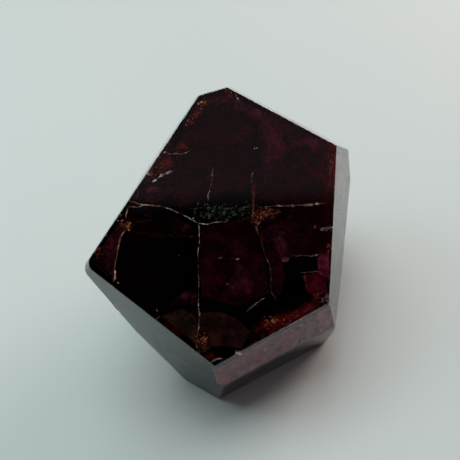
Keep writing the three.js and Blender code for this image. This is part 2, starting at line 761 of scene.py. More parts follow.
TABLE_CRACKS = (
    # The long crack across the table: two strands at the left end, a gap in the middle.
    Crack(((-18.6, 10.0), (-16.9, 9.0), (-14.4, 8.0), (-13.2, 7.5)), 0.17, OCHRE),
    Crack(((-18.7, 8.8), (-17.1, 8.3), (-15.5, 8.3), (-13.6, 7.8)), 0.14, OCHRE),
    Crack(((-13.4, 7.6), (-12.5, 7.3), (-10.2, 5.7), (-8.2, 3.9), (-7.3, 3.0)), 0.12),
    Crack(((-7.4, 3.1), (-6.4, 2.2), (-4.6, 1.5), (-3.2, 1.5), (-0.7, 1.0)), 0.14),
    Crack(((2.2, 2.4), (3.3, 2.8), (5.8, 2.7), (6.4, 2.1), (7.2, 1.6), (8.7, 1.7)), 0.18),
    Crack(((8.7, 1.7), (9.9, 1.3), (11.2, 0.9)), 0.13),
    Crack(((11.0, 0.9), (12.8, 0.7), (14.3, 0.4)), 0.5),
    Crack(((14.3, 0.4), (15.8, 0.1), (17.8, -0.4), (18.9, -0.5)), 0.46),
    Crack(((9.8, 1.3), (12.8, 0.8), (15.8, 0.2), (19.6, -0.7)), 0.24),
    Crack(((18.7, -0.5), (20.5, -0.9)), 0.12),
    # The crack that falls straight down from it, whitest at two thirds of its way.
    Crack(((-6.3, 2.1), (-6.6, 0.9), (-7.0, -1.0)), 0.1),
    Crack(((-7.0, -1.0), (-7.8, -3.0), (-9.0, -7.0), (-9.4, -8.7)), 0.17, OCHRE),
    Crack(((-9.3, -8.4), (-9.9, -10.5), (-10.2, -11.8)), 0.22, OCHRE),
    Crack(((-10.2, -11.6), (-10.4, -12.6), (-10.8, -13.6)), 0.15),
    Crack(((-10.8, -13.4), (-11.1, -14.8), (-11.5, -16.4)), 0.22, OCHRE),
    Crack(((-11.5, -16.2), (-12.1, -18.0), (-13.1, -19.9), (-13.3, -21.2)), 0.14, OCHRE),
    # The crack that cuts off the left corner.
    Crack(((-18.7, 8.6), (-19.4, 7.2), (-19.6, 6.5)), 0.16, OCHRE),
    Crack(((-19.9, 4.8), (-21.0, 4.2), (-22.1, 2.4), (-23.0, 0.6)), 0.2, OCHRE, -10),
    Crack(((-22.8, 0.8), (-23.8, -1.0), (-24.3, -2.4)), 0.17, OCHRE, -10),
    Crack(((-24.2, -2.2), (-24.5, -3.7), (-25.1, -4.3)), 0.36, PALE, -10),
    # The crack that wanders down the right half.
    Crack(((5.2, 2.4), (4.5, 0.7), (4.5, -0.7), (4.8, -1.4)), 0.26, OCHRE, 14),
    Crack(((4.7, -1.2), (4.7, -2.8), (4.8, -4.3), (4.8, -8.0)), 0.08, OCHRE, 14),
    Crack(((4.8, -7.8), (5.1, -8.9), (5.2, -10.1), (4.9, -11.2), (4.5, -12.8)), 0.22, OCHRE, 14),
    Crack(((4.5, -12.6), (4.2, -14.1), (4.3, -15.3), (4.6, -16.8)), 0.15, OCHRE, 14),
    Crack(((4.5, -5.1), (5.4, -6.3), (6.4, -7.2)), 0.16, FAINT),
    # Short ones, blades and traces.
    Crack(((7.2, 9.3), (6.6, 8.3), (6.2, 7.2)), 0.07, OCHRE, 25),
    Crack(((6.0, 5.9), (5.6, 3.6), (4.9, 2.2)), 0.11, OCHRE, 25),
    Crack(((-0.6, 12.2), (-1.5, 9.7), (-2.5, 7.6)), 0.1),
    Crack(((-2.4, 7.8), (-3.0, 6.8), (-3.3, 6.1)), 0.24),
    Crack(((-6.7, 11.1), (-7.3, 9.9)), 0.16, FAINT),
    Crack(((12.6, 19.7), (10.3, 14.7), (9.5, 9.7)), 0.07, FAINT),
    Crack(((-19.2, 4.0), (-15.7, 2.3), (-11.9, 0.9), (-7.1, -0.5)), 0.07, FAINT),
    Crack(((-18.2, 5.5), (-16.4, 5.2), (-14.0, 5.3)), 0.09, FAINT),
    Crack(((-8.8, 16.9), (-6.1, 16.1), (-4.0, 16.3)), 0.14, OCHRE),
    Crack(((-5.9, 17.6), (-5.2, 16.7), (-4.2, 16.2)), 0.09, FAINT),
    Crack(((-12.9, 12.2), (-9.0, 13.4)), 0.42),
    Crack(((10.2, -9.1), (12.3, -9.7), (14.5, -10.3)), 0.12),
    Crack(((14.2, -10.2), (16.5, -10.5)), 0.36),
    Crack(((10.8, -12.7), (15.2, -13.7)), 0.07),
    Crack(((11.7, -13.2), (11.5, -14.6)), 0.3),
    Crack(((11.5, -14.8), (11.2, -16.2)), 0.07),
    Crack(((-1.9, -17.1), (-0.5, -16.5), (2.5, -15.5)), 0.12),
    Crack(((-9.8, -15.2), (-8.0, -16.6)), 0.07, FAINT),
    Crack(((13.7, 0.1), (12.8, -0.8), (11.8, -1.6)), 0.26, FAINT),
    Crack(((8.3, -2.4), (9.8, -2.8)), 0.14, OCHRE),
    Crack(((9.1, -3.7), (10.0, -4.3)), 0.12, OCHRE),
    Crack(((-16.5, 10.1), (-15.9, 11.3)), 0.19, OCHRE),
    Crack(((-27.4, -0.2), (-25.5, -3.0)), 0.1, FAINT),
    Crack(((12.0, -18.5), (13.9, -19.1)), 0.16, OCHRE),
    Crack(((-11.3, -24.4), (-10.2, -24.1), (-8.8, -24.4)), 0.12),
    Crack(((6.0, -20.3), (8.3, -20.8)), 0.14, OCHRE),
    Crack(((5.5, 23.0), (5.5, 22.0)), 0.16, FAINT),
    Crack(((-4.7, -5.4), (-3.9, -5.6), (-3.5, -5.4)), 0.16),
    Crack(((-3.5, -5.4), (-1.9, -6.3), (-0.7, -6.7)), 0.07, FAINT),
    Crack(((-1.2, -6.5), (-0.7, -6.7), (-0.2, -6.6)), 0.14),
)

SIDE_CRACKS = (
    Crack(((4.9, 4.7), (5.4, 3.0), (6.1, 0.4), (6.3, -1.6)), 0.44, OCHRE, face=Face.FRONT),
    Crack(((-9.6, 4.0), (-9.0, 3.4), (-8.4, 2.5)), 0.8, PALE, face=Face.FRONT),
    Crack(((-8.0, 2.3), (-7.0, 1.8), (-5.8, 1.4)), 0.3, PALE, face=Face.FRONT),
    Crack(((-3.4, 1.6), (-3.0, 0.4), (-2.8, -0.6)), 0.5, OCHRE, face=Face.FRONT),
    Crack(((-1.4, 0.6), (-0.4, -0.8), (0.8, -1.6)), 0.16, FAINT, face=Face.FRONT),
    Crack(((5.0, -2.6), (6.2, -3.8), (8.4, -4.0)), 0.24, OCHRE, face=Face.FRONT),
    Crack(((10.2, -2.0), (11.4, -2.8)), 0.3, PALE, face=Face.FRONT),
    Crack(((8.6, 5.0), (9.6, 1.0), (9.2, -2.6)), 0.12, FAINT, face=Face.FRONT),
    Crack(((-9.8, 8.6), (-7.8, 7.0), (-5.6, 4.8)), 0.24, PALE, face=Face.RIGHT),
    Crack(((-2.6, 6.8), (0.4, 3.6), (1.0, 1.0)), 0.14, FAINT, face=Face.RIGHT),
    Crack(((6.2, 8.8), (8.0, 2.0), (10.8, -4.0)), 0.12, FAINT, face=Face.RIGHT),
    Crack(((-15.8, -0.8), (-12.0, -4.0), (-9.0, -9.6)), 0.12, FAINT, face=Face.RIGHT),
    Crack(((-12.4, 6.0), (-11.6, 4.6), (-11.8, 2.6)), 0.3, OCHRE, face=Face.LEFT),
)

BACK_FACES = (
    Face.CROWN_LEFT,
    Face.CROWN_TOP,
    Face.CROWN_RIGHT,
    Face.BACK,
    Face.BACK_LEFT,
    Face.BACK_RIGHT,
)


# The cracks that are made up for a facet at the back: what fills them, how many corners they
# have, how far they turn from corner to corner (radians), how long a step is and how far their
# middle lies from the facet's (shares of its room), and how wide they are (mm).
HIDDEN_FILLINGS = (PALE, OCHRE, OCHRE, FAINT, FAINT)
HIDDEN_CORNERS = 6
HIDDEN_TURN = 0.25
HIDDEN_STEP = (0.2, 0.4)
HIDDEN_PLACE = 0.5
HIDDEN_WIDTH = (0.12, 0.24)


def wandering_cracks(stone: PackedStone, face: Face, rng: np.random.Generator) -> list[Crack]:
    """Make up a few cracks for a facet at the back, of the kinds that the table has.

    A crack's corners are a walk of equal steps: each step turns by a random angle.

    Args:
        stone: the stone.
        face: the facet.
        rng: where the random numbers come from.

    Returns:
        The cracks.
    """
    room = stone.room(face)
    cracks = []
    for kind in HIDDEN_FILLINGS:
        heading = rng.uniform(0, 2 * np.pi)
        heading = heading + np.cumsum(rng.normal(0, HIDDEN_TURN, HIDDEN_CORNERS))
        step = room * rng.uniform(*HIDDEN_STEP)
        walk = np.cumsum(step * circle(heading), axis=0)
        walk += rng.uniform(-HIDDEN_PLACE * room, HIDDEN_PLACE * room, 2) - walk.mean(0)
        width = float(rng.uniform(*HIDDEN_WIDTH))
        cracks.append(Crack(corners(walk), width, kind, face=face))
    return cracks


@dataclass
class HealedCracks:
    """The cracks that run down into the stone from its facets, filled by clay and rust."""

    stone: PackedStone
    cracks: tuple[Crack, ...] = TABLE_CRACKS + SIDE_CRACKS
    step: float = 0.15
    fewest_steps: int = 8
    sway: float = 0.09
    sway_legs: tuple[float, float] = (1.3, 0.5)
    taper: float = 0.8
    uneven_leg: float = 0.6
    uneven: tuple[float, float] = (0.7, 0.8)
    uneven_limits: tuple[float, float] = (0.1, 2.0)
    depth_leg: float = 2.0
    depth_swing: float = 0.3
    least_depth: float = 0.3
    seed: int = 11
    open_top: float = -0.012
    healed_top: float = 0.12

    # One half of a crack's section: how wide it is, of its half width, at each part of its depth.
    wedge: Outline = ((0.45, 0.0), (1.0, 0.05), (0.5, 0.3), (0.2, 0.7))

    def build(self) -> None:
        """Make one piece for each filling."""
        rng = np.random.default_rng(self.seed)
        made_up = [c for face in BACK_FACES for c in wandering_cracks(self.stone, face, rng)]
        for filling in Filling:
            batch = Batch(f"cracks_{filling.name.lower()}", self.stone, self.open_top)
            for crack in (*self.cracks, *made_up):
                if crack.filling is filling:
                    self.sweep(batch, crack, rng)
            batch.build(filling.value.make())

    def sweep(self, batch: Batch, crack: Crack, rng: np.random.Generator) -> None:
        """Carry the wedge section along the crack's path.

        The path is the line through the corners, cut evenly, plus a long and a short zigzag
        across it. At each stop the section's width is the crack's width times a zigzag, and
        width and depth taper to nothing as the square root of the distance from each end. The
        section runs straight in, turned sideways by the crack's lean, from the polish down, or
        from a little below it where the crack has healed.

        Args:
            batch: the piece that gets the crack.
            crack: the crack.
            rng: where the random numbers come from.
        """
        knots = np.array(crack.corners)
        length = np.linalg.norm(np.diff(knots, axis=0), axis=1).sum()
        count = max(self.fewest_steps, int(length / self.step))
        path = cut_evenly(knots, count)
        way = np.gradient(path, axis=0)
        way /= np.linalg.norm(way, axis=1, keepdims=True)
        across = np.stack([-way[:, 1], way[:, 0]], axis=1)
        part = np.linspace(0, 1, count)
        ends = np.minimum(1.0, np.sqrt(np.minimum(part, 1 - part) * length / self.taper))
        long, short = (zigzag(length, count, leg, rng) for leg in self.sway_legs)
        path = path + across * (self.sway * (long + 0.5 * short) * ends)[:, None]
        usual, swing = self.uneven
        uneven = usual + swing * zigzag(length, count, self.uneven_leg, rng)
        width = crack.width / 2 * ends * uneven.clip(*self.uneven_limits)
        deep = 1.0 + self.depth_swing * zigzag(length, count, self.depth_leg, rng)
        depth = crack.depth * ends * deep.clip(self.least_depth)
        half = np.array(self.wedge)
        outline = np.vstack([half, [[0.0, 1.0]], half[::-1] * (-1, 1)])
        side = width[:, None] * outline[:, 0]
        top = self.healed_top if crack.filling is FAINT else self.open_top
        down = top + depth[:, None] * outline[:, 1]
        side = side + down * math.tan(math.radians(crack.lean))
        flat = path[:, None, :] + across[:, None, :] * side[..., None]
        rings = self.stone.ruler(crack.face).place(flat, down)
        batch.add(rings[None], rings[:1].mean(1), rings[-1:].mean(1), np.zeros(count))


# ---------------- films


class Stain(Enum):
    """What a film in the stone is made of."""

    RUST = RUST
    RED = RED_SKIN
    BROWN = BROWN_SKIN_AND_REFLECTION
    DULL = DULL_VEIL
    PLUM = PLUM_VEIL
    BRIGHT = BRIGHT_VEIL
    AIRY = AIRY_VEIL


@dataclass(frozen=True)
class Film:
    """One thin film: its outline on a facet's ruler and how deep it lies, mm."""

    outline: Outline
    depth: float
    face: Face = Face.TABLE


def oval(along: float, up: float, half_width: float, half_height: float) -> Outline:
    """Give eight corners round an oval, from its middle and its two half sizes, mm."""
    arms = circle(np.arange(8) * np.pi / 4) * (half_width, half_height)
    return corners(arms + (along, up))


# Rust, close under the polish, where cracks meet and along the edges.
RUST_FILMS = (
    Film(oval(-19.7, 5.4, 1.2, 1.1), 0.15),
    Film(((4.2, 1.9), (6.0, 2.4), (9.4, 1.2), (9.6, -0.2), (6.6, -0.9), (4.9, -1.6)), 0.4),
    Film(((5.2, 3.2), (5.6, 5.6), (6.6, 8.4), (7.4, 8.0), (7.6, 4.6), (6.4, 3.2)), 1.6),
    Film(((-10.6, -18.9), (-12.9, -18.6), (-13.3, -21.7), (-11.4, -21.9), (-10.4, -20.6)), 0.15),
    Film(((-0.6, -19.4), (3.6, -18.8), (8.4, -19.8), (9.0, -21.0), (3.4, -22.4), (-0.4, -22.9)),
         1.2),
    Film(((-27.0, 3.0), (-25.6, 3.3), (-25.3, 1.4), (-26.9, 1.0)), 0.5),
    Film(((-3.9, 21.4), (-1.0, 23.9), (1.4, 25.6), (2.2, 24.6), (0.2, 22.4), (-2.8, 20.9)), 1.0),
    Film(((6.2, 26.2), (8.4, 24.8), (7.2, 23.8), (5.2, 25.2)), 1.3),
    Film(oval(18.4, -9.3, 0.9, 0.5), 0.4),
    Film(((11.6, -18.8), (14.3, -18.9), (14.0, -20.3), (11.9, -20.6)), 1.4),
)

RED_FILMS = (
    Film(((-2.4, -21.4), (-0.6, -20.0), (3.0, -18.9), (8.6, -19.5), (11.6, -18.0), (14.8, -18.2),
          (14.6, -20.8), (4.0, -23.0), (-1.8, -24.0)), 1.0),
    Film(((25.2, 9.8), (24.2, 10.2), (22.4, 5.0), (20.9, 0.6), (22.0, 0.4)), 0.8),
    Film(((-13.0, 12.8), (-11.4, 15.4), (-8.0, 17.2), (-6.6, 16.2), (-7.0, 14.4), (-10.4, 13.0)),
         0.9),
    Film(((-7.6, 17.0), (-5.6, 19.0), (-3.6, 18.2), (-3.8, 16.8)), 0.9),
    Film(((-3.6, 21.8), (0.2, 25.2), (1.6, 24.6), (-0.6, 21.6)), 1.4),
    Film(((4.9, 1.6), (8.0, 2.0), (10.4, 0.8), (10.2, -1.6), (5.0, -1.4)), 1.0),
    Film(oval(-11.0, -23.3, 1.3, 0.8), 1.2),
    Film(oval(-12.2, -20.4, 1.4, 1.6), 0.2),
)

# Fracture faces in the blocks between the cracks. Each fills its block from crack to crack; the
# black block on the left and the two small ones at the right have none. The last two, low on the
# left, are a painted reflection: the brown patch that the table mirrors.
BROWN_FILMS = (
    Film(((-19.0, 7.4), (-13.6, 7.0), (-9.6, 4.4), (-7.2, 1.6), (-7.4, -0.2), (-13.0, 1.0),
          (-19.2, 2.6)), 4.4),
    Film(((9.6, -1.6), (20.2, -1.2), (20.0, -6.4), (17.6, -10.6), (9.8, -9.2)), 1.5),
    # Painted reflection: these two films lay in the brown patch that the table mirrors low on its
    # left.
    Film(((-18.2, -13.0), (-13.8, -12.8), (-11.2, -15.6), (-12.6, -20.6)), 0.18),
    Film(((-11.4, -14.4), (-7.0, -15.4), (-4.0, -17.8), (-2.2, -21.0), (-4.8, -23.4),
          (-12.0, -20.8)), 0.4),
)

DULL_FILMS = (
    Film(((-6.2, 1.6), (4.3, 0.6), (4.6, -8.0), (4.2, -14.8), (-2.8, -15.6), (-9.6, -12.2),
          (-8.6, -7.0)), 2.0),
    Film(((-27.4, 0.8), (-20.4, 7.0), (-20.6, 4.6), (-23.0, 0.4), (-24.6, -3.6)), 1.2),
    Film(((-17.8, 10.4), (-12.2, 14.6), (-8.6, 13.2), (-9.2, 9.4), (-13.2, 8.0)), 1.6),
    Film(((5.0, 1.2), (9.8, -1.4), (10.2, -9.4), (5.2, -9.6)), 1.8),
    Film(((5.2, -9.4), (8.4, -9.2), (8.2, -12.4), (6.6, -15.0), (5.2, -16.4), (4.8, -12.6)), 2.0),
    Film(((-16.0, -11.6), (-12.6, -9.6), (-10.2, -10.4), (-10.8, -13.0)), 1.8),
    Film(((6.4, 4.8), (9.2, 9.8), (16.4, 10.2), (21.4, 3.6), (20.8, 0.2), (10.4, 1.6)), 2.7),
    Film(((-8.8, 6.4), (-11.0, 12.6), (-6.4, 17.6), (-0.6, 17.0), (1.2, 7.4), (-2.2, 6.4)), 2.4),
    Film(((0.4, 7.4), (-0.8, 16.4), (9.4, 14.6), (8.8, 8.8), (6.6, 4.8)), 2.9),
    Film(((-5.6, 17.4), (-3.8, 21.4), (1.0, 25.6), (6.8, 26.4), (11.6, 22.0), (9.4, 15.0),
          (-0.6, 16.8)), 2.4),
    Film(((16.6, 10.2), (17.2, 16.8), (24.4, 10.4), (22.4, 4.2)), 2.4),
)

PLUM_FILMS = (
    Film(((9.6, 13.4), (12.0, 21.4), (17.4, 17.2), (16.2, 11.6), (13.6, 8.6), (9.6, 8.6)), 1.8),
    Film(((15.4, 11.8), (16.4, 17.6), (24.6, 10.8), (21.6, 9.0), (19.6, 12.0)), 1.6),
    Film(((7.4, 25.2), (13.2, 20.2), (11.4, 18.4), (6.8, 22.4)), 1.3),
    Film(((8.0, 5.4), (9.2, 9.2), (10.4, 8.6), (9.8, 5.0)), 1.5),
    Film(((-3.4, -9.8), (-0.6, -7.4), (1.4, -8.2), (2.2, -13.2), (0.2, -14.6), (-4.4, -13.4)),
         1.5),
    Film(((6.8, -3.2), (9.6, -3.2), (10.4, -8.8), (7.8, -9.4)), 1.3),
    Film(oval(-12.3, -10.7, 1.4, 1.0), 1.3),
    Film(oval(-8.8, 2.3, 1.4, 0.5), 1.6),
    Film(oval(-15.3, 6.3, 1.3, 0.7), 1.4),
    Film(oval(-12.6, 10.8, 2.0, 0.9), 1.2),
    Film(((0.6, 25.0), (1.8, 25.9), (6.4, 26.2), (7.2, 24.0), (4.0, 23.6)), 1.4),
)

BRIGHT_FILMS = (
    Film(((15.4, -10.8), (18.5, -9.7), (17.5, -13.2), (16.7, -15.6), (15.0, -14.2)), 1.6),
    Film(((11.6, -13.6), (16.6, -14.0), (15.5, -19.2), (13.0, -18.8), (11.6, -16.8)), 2.6),
    Film(oval(8.8, -9.4, 0.8, 0.6), 0.8),
    Film(((12.4, -17.6), (15.6, -18.0), (15.2, -19.4), (12.0, -19.0)), 1.2),
    Film(((13.0, 14.6), (16.2, 13.8), (16.0, 12.0), (13.4, 12.6)), 4.0),
)

AIRY_FILMS = (
    Film(((-13.2, 0.6), (-2.0, 2.7), (6.4, 4.5), (7.0, -4.6), (0.0, -5.0), (-12.8, -6.4)), 1.9,
         face=Face.FRONT),
    Film(((6.6, 5.6), (12.2, 5.8), (13.8, -3.4), (7.2, -4.6)), 1.3, face=Face.FRONT),
    Film(((-9.6, -2.8), (-5.0, -3.0), (-4.2, -5.0), (-9.0, -5.4)), 1.0, face=Face.FRONT),
    Film(((2.6, 4.6), (5.4, 5.4), (6.2, 1.4), (3.4, 0.8)), 1.2, face=Face.FRONT),
    Film(((2.0, 9.0), (7.0, 14.0), (14.0, 6.0), (15.0, 0.0), (8.0, -1.0)), 2.6, face=Face.RIGHT),
    Film(oval(-11.8, 4.4, 0.9, 1.8), 1.0, face=Face.LEFT),
)

FILMS = {
    Stain.RUST: RUST_FILMS,
    Stain.RED: RED_FILMS,
    Stain.BROWN: BROWN_FILMS,
    Stain.DULL: DULL_FILMS,
    Stain.PLUM: PLUM_FILMS,
    Stain.BRIGHT: BRIGHT_FILMS,
    Stain.AIRY: AIRY_FILMS,
}

# The films that are made up for the facets at the back: the half width as a share of the facet's
# room and the depth in mm, then how far their middles stray and how flat they are.
HIDDEN_FILMS = {
    Stain.RUST: (0.12, 0.7),
    Stain.RED: (0.2, 1.0),
    Stain.BROWN: (0.5, 1.4),
    Stain.DULL: (0.6, 1.8),
    Stain.PLUM: (0.4, 2.4),
    Stain.BRIGHT: (0.18, 3.0),
    Stain.AIRY: (0.1, 1.6),
}
HIDDEN_STRAY = 0.3
HIDDEN_FLATNESS = (0.5, 1.0)


def hidden_film(stone: PackedStone, face: Face, stain: Stain, rng: np.random.Generator) -> Film:
    """Make up one film for a facet at the back.

    Args:
        stone: the stone.
        face: the facet.
        stain: what the film is made of.
        rng: where the random numbers come from.

    Returns:
        An oval film near the middle of the facet.
    """
    room = stone.room(face)
    size, depth = HIDDEN_FILMS[stain]
    along, up = rng.normal(0, HIDDEN_STRAY * room, 2)
    outline = oval(along, up, size * room, size * room * rng.uniform(*HIDDEN_FLATNESS))
    return Film(outline, depth, face=face)


@dataclass
class SealedFilms:
    """The films that the stone holds: rust, bright fracture faces and dull veils."""

    stone: PackedStone
    thickness: float = 0.05
    rows: int = 14
    step: float = 0.35
    steps: tuple[int, int] = (24, 120)
    first_ring: float = 0.06
    ragged_stains: float = 0.16
    ragged_veils: float = 0.03
    waviness: float = 0.12
    shortest_wave: float = 2.0
    least_depth: float = 0.12
    seed: int = 23

    def build(self) -> None:
        """Make one piece for each kind of film."""
        rng = np.random.default_rng(self.seed)
        for stain, films in FILMS.items():
            batch = Batch(f"films_{stain.name.lower()}", self.stone)
            hidden = [hidden_film(self.stone, face, stain, rng) for face in BACK_FACES]
            ragged = self.ragged_stains if stain.value.frayed > 0 else self.ragged_veils
            for film in (*films, *hidden):
                self.spread(batch, film, ragged, rng)
            batch.build(stain.value.make())

    def spread(self, batch: Batch, film: Film, ragged: float, rng: np.random.Generator) -> None:
        """Make a film as a lens: rings that grow from its middle to its rim and shrink back.

        A ring's point is the middle plus a share of the way to the outline's point; the outline
        is walked evenly and rippled in and out by the ragged share of its size. The film lies at
        its depth plus a ripple, and its two faces stand apart by its thickness times the square
        root of one less the share squared.

        Args:
            batch: the piece that gets the film.
            film: the film.
            ragged: how far its outline wanders in and out, as a share of its size.
            rng: where the random numbers come from.
        """
        knots = np.array(film.outline)
        walk = np.linalg.norm(np.roll(knots, -1, 0) - knots, axis=1).sum()
        across = int(np.clip(walk / self.step, *self.steps))
        edge = cut_evenly(knots, across, closed=True)
        middle = edge.mean(0)
        size = np.linalg.norm(edge - middle, axis=1).mean()
        frayed = 1 + ragged * (ripple(edge, size, rng) + 0.5 * ripple(edge, size / 3, rng))
        reach = (edge - middle) * frayed[:, None]
        share = np.sin(np.linspace(self.first_ring, 1, self.rows) * np.pi / 2)
        share = np.concatenate([share, share[-2::-1]])
        side = np.concatenate([np.ones(self.rows), -np.ones(self.rows - 1)])
        flat = middle + share[:, None, None] * reach
        wave = ripple(flat, max(self.shortest_wave, size), rng)
        half = self.thickness / 2 * np.sqrt(1 - share**2)
        lie = film.depth + self.waviness * film.depth * wave
        depth = (lie - (side * half)[:, None]).clip(self.least_depth)
        rings = self.stone.ruler(film.face).place(flat, depth)
        batch.add(rings[None], rings[:1].mean(1), rings[-1:].mean(1), share)


# ---------------- crumbs and moss


class Crumb(Enum):
    """What a crumb in the stone is made of."""

    RUST = LIMONITE_CRUMB
    WHITE = WHITE_GRAIN_AND_GLINT


@dataclass(frozen=True)
class Cluster:
    """A cluster of crumbs: its middle, its spread both ways, how many there are and their sizes.

    All in mm on a facet's ruler, turned by a number of degrees. Sizes and depths are each the
    least and the most.
    """

    middle: tuple[float, float]
    spread: tuple[float, float]
    count: int
    sizes: tuple[float, float]
    depths: tuple[float, float]
    turn: float = 0.0
    face: Face = Face.TABLE


RUST_CLUSTERS = (
    Cluster((-19.7, 5.5), (0.7, 0.6), 60, (0.14, 0.5), (-0.01, 0.3)),
    Cluster((-19.9, 7.0), (0.4, 0.6), 8, (0.06, 0.18), (0.02, 0.32)),
    Cluster((7.4, 0.4), (1.6, 0.6), 90, (0.14, 0.55), (-0.01, 0.4)),
    Cluster((4.9, -0.2), (0.5, 1.1), 50, (0.14, 0.46), (-0.01, 0.3)),
    Cluster((5.2, -3.0), (0.4, 1.2), 24, (0.1, 0.3), (0.02, 0.5)),
    Cluster((5.4, 2.4), (0.7, 0.5), 14, (0.08, 0.26), (0.03, 0.4)),
    Cluster((6.6, 5.8), (0.5, 1.9), 26, (0.1, 0.34), (0.15, 1.44)),
    Cluster((8.8, -3.0), (1.0, 1.0), 12, (0.08, 0.24), (0.09, 0.96)),
    Cluster((-12.1, -20.2), (0.8, 1.0), 44, (0.14, 0.5), (0.0, 0.3)),
    Cluster((3.8, -20.8), (2.6, 0.7), 60, (0.12, 0.45), (0.04, 0.96), -6),
    Cluster((2.4, -20.4), (0.7, 0.35), 30, (0.3, 0.7), (0.0, 0.4)),
    Cluster((13.2, -19.4), (0.9, 0.5), 16, (0.1, 0.35), (0.09, 0.96)),
    Cluster((-9.8, 14.8), (1.8, 0.7), 44, (0.12, 0.42), (0.05, 0.8), 32),
    Cluster((-12.6, 11.0), (2.4, 0.7), 20, (0.08, 0.26), (0.18, 1.44), 40),
    Cluster((-26.3, 2.0), (0.5, 0.5), 16, (0.12, 0.4), (0.03, 0.4), 30),
    Cluster((-24.3, 4.6), (1.6, 0.4), 14, (0.08, 0.26), (0.09, 0.96), 42),
    Cluster((-0.9, 23.4), (2.0, 0.5), 44, (0.12, 0.45), (0.03, 0.6), 42),
    Cluster((1.0, 24.8), (0.6, 0.4), 26, (0.2, 0.5), (-0.02, 0.2)),
    Cluster((2.4, 24.6), (0.9, 0.25), 12, (0.08, 0.24), (0.03, 0.4)),
    Cluster((-5.6, 17.4), (2.2, 0.5), 26, (0.08, 0.3), (0.12, 1.12), 30),
    Cluster((7.2, 25.4), (0.8, 0.4), 24, (0.14, 0.4), (0.0, 0.4), -40),
    Cluster((23.8, 7.0), (0.4, 2.2), 44, (0.14, 0.42), (0.03, 0.6), -20),
    Cluster((18.3, -9.4), (0.7, 0.4), 24, (0.14, 0.4), (0.0, 0.3)),
    Cluster((-24.6, -3.6), (0.3, 0.6), 18, (0.14, 0.4), (0.0, 0.3)),
    Cluster((4.4, -3.4), (1.8, 0.7), 34, (0.14, 0.5), (0.02, 0.6), face=Face.FRONT),
    Cluster((7.0, 1.0), (0.9, 2.2), 40, (0.14, 0.5), (0.02, 0.6), face=Face.FRONT),
    Cluster((-1.0, 3.0), (5.0, 0.6), 22, (0.1, 0.3), (0.09, 0.96), 5, face=Face.FRONT),
)

WHITE_CLUSTERS = (
    # Chips and bruises on the edges and corners.
    Cluster((14.7, -19.2), (0.5, 0.4), 34, (0.12, 0.5), (-0.02, 0.4)),
    # A bruise at the surface, white partly as a painted glint.
    Cluster((-9.0, 13.3), (0.25, 0.12), 7, (0.2, 0.5), (-0.02, 0.1)),
    Cluster((-5.4, -24.2), (0.2, 0.12), 5, (0.15, 0.3), (-0.02, 0.1)),
    Cluster((19.6, -6.4), (0.1, 0.15), 4, (0.14, 0.3), (-0.02, 0.15)),
    Cluster((-20.7, 7.3), (0.5, 0.2), 5, (0.1, 0.22), (-0.02, 0.1), 40),
    Cluster((-14.0, 12.9), (0.7, 0.2), 5, (0.08, 0.2), (-0.02, 0.1), 40),
    Cluster((-0.4, 4.2), (0.3, 0.1), 5, (0.15, 0.3), (-0.02, 0.1), face=Face.FRONT),
    Cluster((-2.9, 0.5), (0.15, 0.3), 5, (0.12, 0.3), (-0.02, 0.15), face=Face.FRONT),
    Cluster((8.0, -2.8), (0.3, 0.3), 5, (0.12, 0.3), (0.0, 0.3), face=Face.FRONT),
    Cluster((10.8, -2.3), (0.5, 0.3), 6, (0.12, 0.3), (0.0, 0.3), face=Face.FRONT),
    # Single grains, each with a few splinters round it.
    Cluster((8.2, 24.2), (0.12, 0.1), 5, (0.3, 0.5), (-0.02, 0.15)),
    Cluster((9.0, 13.7), (0.2, 0.08), 5, (0.25, 0.45), (-0.02, 0.15)),
    Cluster((-4.0, -10.8), (0.12, 0.12), 5, (0.16, 0.34), (0.0, 0.3)),
    Cluster((-18.6, -11.6), (0.15, 0.25), 5, (0.12, 0.24), (-0.02, 0.15)),
    Cluster((-18.8, -13.2), (0.2, 0.15), 5, (0.14, 0.28), (-0.02, 0.15)),
    Cluster((-11.6, -3.1), (0.3, 0.15), 4, (0.05, 0.12), (0.0, 0.3)),
    Cluster((-8.0, -11.8), (0.15, 0.15), 3, (0.12, 0.24), (0.3, 0.8)),
    Cluster((-11.0, -11.3), (0.2, 0.15), 4, (0.12, 0.24), (0.3, 0.8)),
    Cluster((16.5, -4.8), (0.1, 0.1), 3, (0.25, 0.4), (0.0, 0.3)),
    Cluster((-8.8, 17.0), (0.3, 0.15), 4, (0.12, 0.24), (-0.02, 0.2)),
    Cluster((-2.6, 22.4), (0.1, 0.1), 2, (0.14, 0.26), (-0.02, 0.2)),
    Cluster((-6.9, 3.5), (0.12, 0.1), 4, (0.14, 0.26), (-0.02, 0.1)),
    Cluster((13.5, 8.8), (0.15, 0.6), 8, (0.08, 0.18), (0.2, 0.6), 10),
    Cluster((1.2, -19.1), (0.1, 0.1), 2, (0.2, 0.32), (-0.02, 0.2)),
    Cluster((-12.0, 1.8), (0.5, 0.5), 8, (0.06, 0.16), (0.2, 0.8)),
    Cluster((-9.6, 1.6), (0.8, 0.4), 10, (0.06, 0.16), (0.4, 1.0)),
    # Dust all over.
    Cluster((0.0, 2.0), (11.0, 10.0), 150, (0.03, 0.1), (0.1, 1.2)),
)


# The crumbs that are made up for a facet at the back: their spread as a share of its room, then
# how many they are, their sizes and their depths.
HIDDEN_SCATTER = 0.4
HIDDEN_LOT = (40, (0.08, 0.3), (0.1, 1.2))


